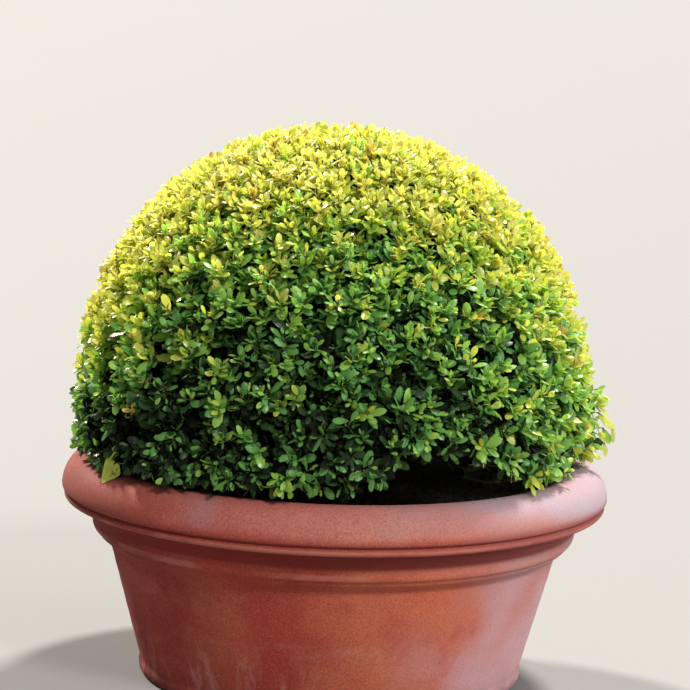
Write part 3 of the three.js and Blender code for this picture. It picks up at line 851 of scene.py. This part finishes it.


# Leaves in opposite pairs behind each shoot's tip, each pair turned a quarter from the one before:
# a leaf leaves its shoot at the pair's spread angle and its face is turned towards the tip and the sky.
# Sunny shoots keep more of their leaves, and the painted shade on the pairs further back is lighter on them.
def growLeaves(tip, heading, tone, size, beyond=0.0, sunny=0.0, tight=1.0):
    count = len(tip)
    missing, shadeShare = lerp(*leaf["missing"], sunny), lerp(*leaf["toneShiftShare"], sunny)
    aside = unit(np.cross(heading, up) + 1e-6)
    third = np.cross(heading, aside)
    spin = random.random(count) * math.pi
    corners, shades = [], []
    for order in range(len(leaf["back"])):
        node = tip - heading * leaf["back"][order] * tight
        for half in (0, 1):
            turn = (spin + (order / 2 + half) * math.pi + stray(count, leaf["turnChance"]))[:, None]
            arm = aside * np.cos(turn) + third * np.sin(turn)
            lean = np.radians(leaf["spread"][order] + stray(count, leaf["leanChance"]))[:, None]
            along = heading * np.cos(lean) + arm * np.sin(lean)
            face = heading * np.sin(lean) - arm * np.cos(lean) + up * leaf["skyward"]
            roll = stray(count, leaf["rollChance"])[:, None]
            side = unit(np.cross(face, along))
            face = np.cross(along, side)
            face, side = face * np.cos(roll) + side * np.sin(roll), side * np.cos(roll) - face * np.sin(roll)
            length = leaf["length"] * leaf["scale"][order] * size * (1 + stray(count, leaf["lengthChance"]))
            basis = np.stack([along, side, face], 1) * length[:, None, None]
            points = node[:, None] + leafPlaces @ basis
            kept = inCrownSpace(points, beyond).all(1) & (random.random(count) > missing)
            shade = tone + leaf["toneShift"][order] * shadeShare + stray(count, leaf["toneChance"])
            corners.append(points[kept])
            shades.append(shade[kept])
    return joined(corners), joined(shades)


# Low on the right the shears missed some. Leaves: root, tip, the way the face looks, and tone
loose = dict(
    leaves=[
        ((291, -4, 336), (318, -4, 337), (0.1, -0.5, 0.85), 1),
        ((303, -8, 321), (326.5, -8, 301), (0.6, -0.4, 0.7), 0),
        ((304, -12, 320), (320, -14, 303), (0.4, -0.7, 0.6), 1),
        ((321, -8, 306), (324, -8, 285), (0.8, -0.6, 0.1), 1),
        ((310, -10, 303), (320, -10, 284), (0.3, -0.9, 0.2), 2),
        ((313, -6, 285), (316, -6, 268), (0.5, -0.8, 0.2), 0),
        ((293, -20, 285), (312, -20, 280), (0.1, -0.6, 0.8), 2),
        ((292, -24, 275), (309, -24, 269), (0.2, -0.6, 0.8), 1),
        ((298, 6, 327), (315, 8, 326), (0.2, -0.4, 0.9), 2),
        ((296, 4, 312), (309, 6, 300), (0.6, -0.5, 0.6), 2),
    ],
    # Twigs: root and tip
    twigs=[
        ((258, -4, 322), (291, -4, 336)), ((262, -4, 312), (304, -8, 321)), ((304, -8, 321), (322, -8, 306)),
        ((268, -8, 300), (311, -10, 303)), ((311, -10, 303), (314, -6, 283)), ((272, -14, 288), (293, -20, 285)),
        ((276, -20, 280), (292, -24, 275)), ((264, 6, 318), (298, 6, 327)),
    ],
    # Shoots that stand out a little: tip and heading
    shoots=[
        ((303, -6, 342), (1.0, -0.1, 0.2)), ((305, -12, 328), (1.0, -0.3, -0.1)),
        ((304, -16, 312), (0.9, -0.4, -0.3)), ((303, 10, 334), (1.0, 0.1, 0.0)), ((304, -20, 297), (0.9, -0.4, -0.4)),
        ((302, -26, 284), (0.8, -0.5, -0.4)), ((298, -44, 280), (0.8, -0.6, -0.3)),
        ((301, -30, 352), (0.9, -0.4, 0.2)),
    ],
    shootLength=42.0, tone=1.7, beyond=24.0,
)


# The entries at each place of a table's rows, as arrays
def columnsOf(rows):
    return [np.array(column, float) for column in zip(*rows)]


# Blades from given roots to given tips, each turned so that its face looks a given way
def placeLeaves(given):
    root, tip, face, tone = columnsOf(given)
    length = lengths(tip - root)
    along = (tip - root) / length
    side = unit(np.cross(face, along))
    basis = np.stack([along, side, np.cross(along, side)], 1) * length[:, None]
    return root[:, None] + leafPlaces @ basis, tone


# Sprays: a spot on the outline, the end of its twig inside, how sunny it is and how far it is sunk
def placeSprays():
    spot, outward = evenSpots(spray["count"], 0.0, spray["lowest"], spray["twist"])
    spot = spot + stray(spot.shape, spray["stray"])
    sideways, upwards = spray["openness"]
    sunny = smoothStep(*spray["sunnyRange"], sideways * np.abs(outward[:, 1]) + upwards * outward[:, 2])
    sunk = random.random(len(spot)) ** 2 * spray["sunk"] * lerp(*spray["sunkShare"], sunny)
    return spot, spot - outward * spray["depth"] - up * spray["drop"], sunny, sunk


# Shoots: even spots, each drawn towards its nearest spray and in by depth + sunk + domed times its distance
# from the spray squared, heading outwards, apart from its neighbours, up or down and by chance
def placeShoots(spot, sunk):
    out, outward = evenSpots(shoot["count"], twist=shoot["twist"])
    out = out + stray(out.shape, shoot["stray"])
    mine = nearest(out, spot)
    apart = out - spot[mine]
    far = np.linalg.norm(apart, axis=1)
    depth = shoot["depth"] + sunk[mine] + shoot["domed"] * far ** 2
    depth = depth + random.random(len(far)) * shoot["depthChance"]
    tip = out - apart * shoot["gather"] - outward * depth[:, None]
    risen = lerp(shoot["droop"], shoot["rise"], smoothStep(crown["hem"], shoot["risenLevel"], tip[:, 2]))
    heading = unit(outward + shoot["fanned"] * apart + up * risen[:, None] + stray(tip.shape, shoot["chance"]))
    return tip, heading, mine, lerp(*leaf["sizes"], smoothStep(*leaf["sizeSlopes"], outward[:, 2]))


# Inner shoots: even spots drawn in by a depth, heading outwards and by chance
def placeInnerShoots():
    out, outward = evenSpots(innerShoot["count"], twist=innerShoot["twist"])
    tip = out - outward * lerp(*innerShoot["depth"], random.random((len(out), 1)))
    return tip, unit(outward + stray(out.shape, innerShoot["chance"]))


# Tone of each spray, higher being darker: shaded, less with painted sun, more with painted shade where it is sunk, by
# chance, and shifted by place
def toneSprays(spot, sunny, sunk):
    tone = tones["shaded"] - tones["sunnyDrop"] * sunny + tones["perSunk"] * sunk
    tone = tone + random.normal(0, tones["chance"], len(sunny))
    for shift, places in tones["shifts"]:
        for axis, start, full in places:
            shift = shift * smoothStep(start, full, spot[:, axis])
        tone = tone + shift
    return tone


def growCrown():
    stemFoot = trunk["foot"] + trunk["rise"] - up * stem["sunk"]
    stemTop = stemFoot + up * (stem["height"] + stem["sunk"])
    forks = lerp(stemTop, evenSpots(fork["count"])[0], fork["share"])
    forkFrom = np.repeat(stemTop[None], len(forks), 0)
    limbRoots = joined([forks, boughEnds])
    limbEnds = evenSpots(limb["count"], limb["depth"])[0]
    limbFrom = limbRoots[nearest(limbEnds, limbRoots)]
    spot, sprayEnds, sunny, sunk = placeSprays()
    sprayFrom = limbEnds[nearest(sprayEnds, limbEnds)]
    tip, heading, mine, size = placeShoots(spot, sunk)
    innerTip, innerHeading = placeInnerShoots()

    makeLimbs("crown_limbs", [
        (stem, stemFoot[None], stemTop[None], np.zeros((1, 3))),
        (fork, forkFrom, forks, chanceBow(fork, forkFrom, forks)),
        (limb, limbFrom, limbEnds, chanceBow(limb, limbFrom, limbEnds)),
    ], oldBark)
    sprayBow = chanceBow(spray, sprayFrom, sprayEnds)
    makeLimbs("spray_twigs", [(spray, sprayFrom, sprayEnds, sprayBow)], youngBark)

    # Shoots bend from their root until they head the way that their leaves stand
    ends = joined([tip, innerTip])
    starts = joined([sprayEnds[mine], sprayEnds[nearest(innerTip, sprayEnds)]])
    bent = (unit(ends - starts) - joined([heading, innerHeading])) * lengths(ends - starts) * shoot["bend"]
    looseTip, looseHeading = columnsOf(loose["shoots"])
    looseHeading = unit(looseHeading)
    looseFrom, looseTo = columnsOf(loose["twigs"])
    looseFrom = joined([looseFrom, looseTip - looseHeading * loose["shootLength"]])
    looseTo = joined([looseTo, looseTip])
    makeLimbs("shoot_twigs", [(shoot, starts, ends, bent), (shoot, looseFrom, looseTo, 0 * looseFrom)], youngBark)

    tone = toneSprays(spot, sunny, sunk)[mine]
    gilded = random.random(len(tip)) < tones["gildedShare"]
    tone = tone - gilded * lerp(*tones["gilding"], sunny[mine])
    tone[random.random(len(tip)) < tones["scorchedShare"] * sunny[mine]] = tones["scorched"]
    grown = [
        growLeaves(tip, heading, tone, size, sunny=sunny[mine]),
        growLeaves(innerTip, innerHeading, innerShoot["tone"], innerShoot["size"], tight=innerShoot["tight"]),
        growLeaves(looseTip, looseHeading, loose["tone"], 1.0, loose["beyond"]),
        placeLeaves(loose["leaves"]),
    ]
    points, shades = (joined(parts) for parts in zip(*grown))
    names = list(leafTones)
    dealt = np.clip(np.round(shades), 0, len(names) - 2)
    which = np.where(shades < tones["scorchedBelow"], len(names) - 1, dealt).astype(int)
    for index, name in enumerate(names):
        blades = points[which == index]
        faces = (np.arange(len(blades))[:, None, None] * len(leafPlaces) + leafFaces[None]).reshape(-1, 3)
        makePiece(f"leaves_{name}", blades.reshape(-1, 3), [faces], makeLeafMaterial(name), ["foliage_dome"],
                  np.tile(leafSpots, (len(blades), 1)))
    print("leaves:", len(points))


growCrown()


# Stray leaf on the rim at the left, lobed on one side: s runs from its stalk to its tip and t across it,
# place = root + s axis + t half width(s) side, cupped, and raised to lie on the rim where it would sink into it

strayLeaf = dict(
    root=(-250.0, -153.0, 285.0), tip=(-260.0, -167.0, 246.0),
    knots=[0.0, 0.12, 0.35, 0.58, 0.66, 0.82, 0.92, 1.0],
    right=[3.0, 8.0, 14.0, 19.5, 20.0, 11.0, 5.5, 0.4],
    left=[3.0, 4.5, 6.0, 5.5, 5.0, 4.0, 3.0, 0.4], rows=33, columns=17, cup=2.2, flatAt=0.3, clearance=0.9,
    green=paint(156, 180, 62), yellow=paint(198, 198, 88), brown=paint(82, 76, 34), clouds=(70.0, 4.0, 0.6),
    spots=(140.0, 2.0, 0.5), dull=0.62, specular=0.3, bump=(0.4, 0.0008),
)


def makeStrayMaterial():
    material, shader, place = newMaterial("stray_leaf")
    roughness, height = addLeafSkin(place, strayLeaf["dull"])
    clouds, spots = (noise(place, *strayLeaf[name]) for name in ("clouds", "spots"))
    colour = blendLayers(strayLeaf["green"], strayLeaf, [
        ("yellow", remap(clouds, 0.4, 0.62)),
        ("brown", remap(spots, 0.64, 0.7, 0.0, 0.8)),
    ])
    dressShader(shader, colour, roughness, height, strayLeaf["bump"], strayLeaf["specular"])
    return material


def makeStrayLeaf():
    s = np.linspace(0, 1, strayLeaf["rows"])[:, None]
    t = np.linspace(-1, 1, strayLeaf["columns"])[None]
    root, tip = np.array(strayLeaf["root"]), np.array(strayLeaf["tip"])
    side = unit(np.cross(up, unit(tip - root)))
    right, left = (np.interp(s, strayLeaf["knots"], strayLeaf[half]) for half in ("right", "left"))
    across = np.where(t > 0, t * right, t * left)
    points = root + (tip - root) * s[..., None] + side * across[..., None]
    points[..., 2] += strayLeaf["cup"] * (t * t - strayLeaf["flatAt"]) * np.sin(math.pi * s)
    points[..., 2] = np.maximum(points[..., 2], rollCrest(points) + strayLeaf["clearance"])
    spots = np.stack([(t + 1) / 2 + 0 * s, s + 0 * t], -1).reshape(-1, 2)
    faces = gridFaces(strayLeaf["rows"], strayLeaf["columns"], False)
    makePiece("stray_leaf", points.reshape(-1, 3), [faces], makeStrayMaterial(), ["foliage_dome"], spots)


makeStrayLeaf()


# Floor and light: a pale sheet, a high warm sun from behind on the right, another from behind on the left,
# a neutral one from the front on the right and a cool weak one from the right

studio = dict(
    floorRadius=60.0, floorSides=96, floorColour=(0.18, 0.177, 0.171, 1.0), floorRoughness=0.9,
    sky=(0.86, 0.88, 0.95, 1.0), skyStrength=0.3,
    # Suns: name, where it stands, strength, width in degrees and colour
    suns=[
        ("key", (0.32, 0.45, 1.05), 6.4, 8.0, (1.0, 0.95, 0.89)),
        ("front", (0.5, -0.8, 0.75), 2.2, 12.0, (1.0, 0.98, 0.95)),
        ("right", (1.0, -0.2, 0.4), 1.5, 25.0, (0.9, 0.95, 1.0)),
        ("left", (-0.7, 1.0, 0.9), 5.8, 6.0, (1.0, 0.94, 0.84)),
    ],
)


def makeStage():
    angle = ringAngles(studio["floorSides"])
    ring = np.stack([np.cos(angle), np.sin(angle), 0 * angle], -1) * studio["floorRadius"]
    mesh = bpy.data.meshes.new("floor")
    mesh.from_pydata(ring.tolist(), [], [list(range(len(angle)))])
    material, shader = newMaterial("pale_floor")[:2]
    feed(shader, {"Base Color": studio["floorColour"], "Roughness": studio["floorRoughness"]})
    mesh.materials.append(material)
    floor = addObject("floor", mesh)
    world = bpy.data.worlds.new("studio")
    world.use_nodes = True
    feed(world.node_tree.nodes["Background"], {"Color": studio["sky"], "Strength": studio["skyStrength"]})
    bpy.context.scene.world = world
    for name, towards, strength, width, colour in studio["suns"]:
        lamp = bpy.data.lights.new(name, "SUN")
        lamp.energy, lamp.angle, lamp.color = strength, math.radians(width), colour
        addObject(name, lamp).rotation_euler = Vector(towards).to_track_quat("Z", "Y").to_euler()
    bpy.context.scene.view_settings.view_transform = "Standard"


makeStage()
print("stage: ready")
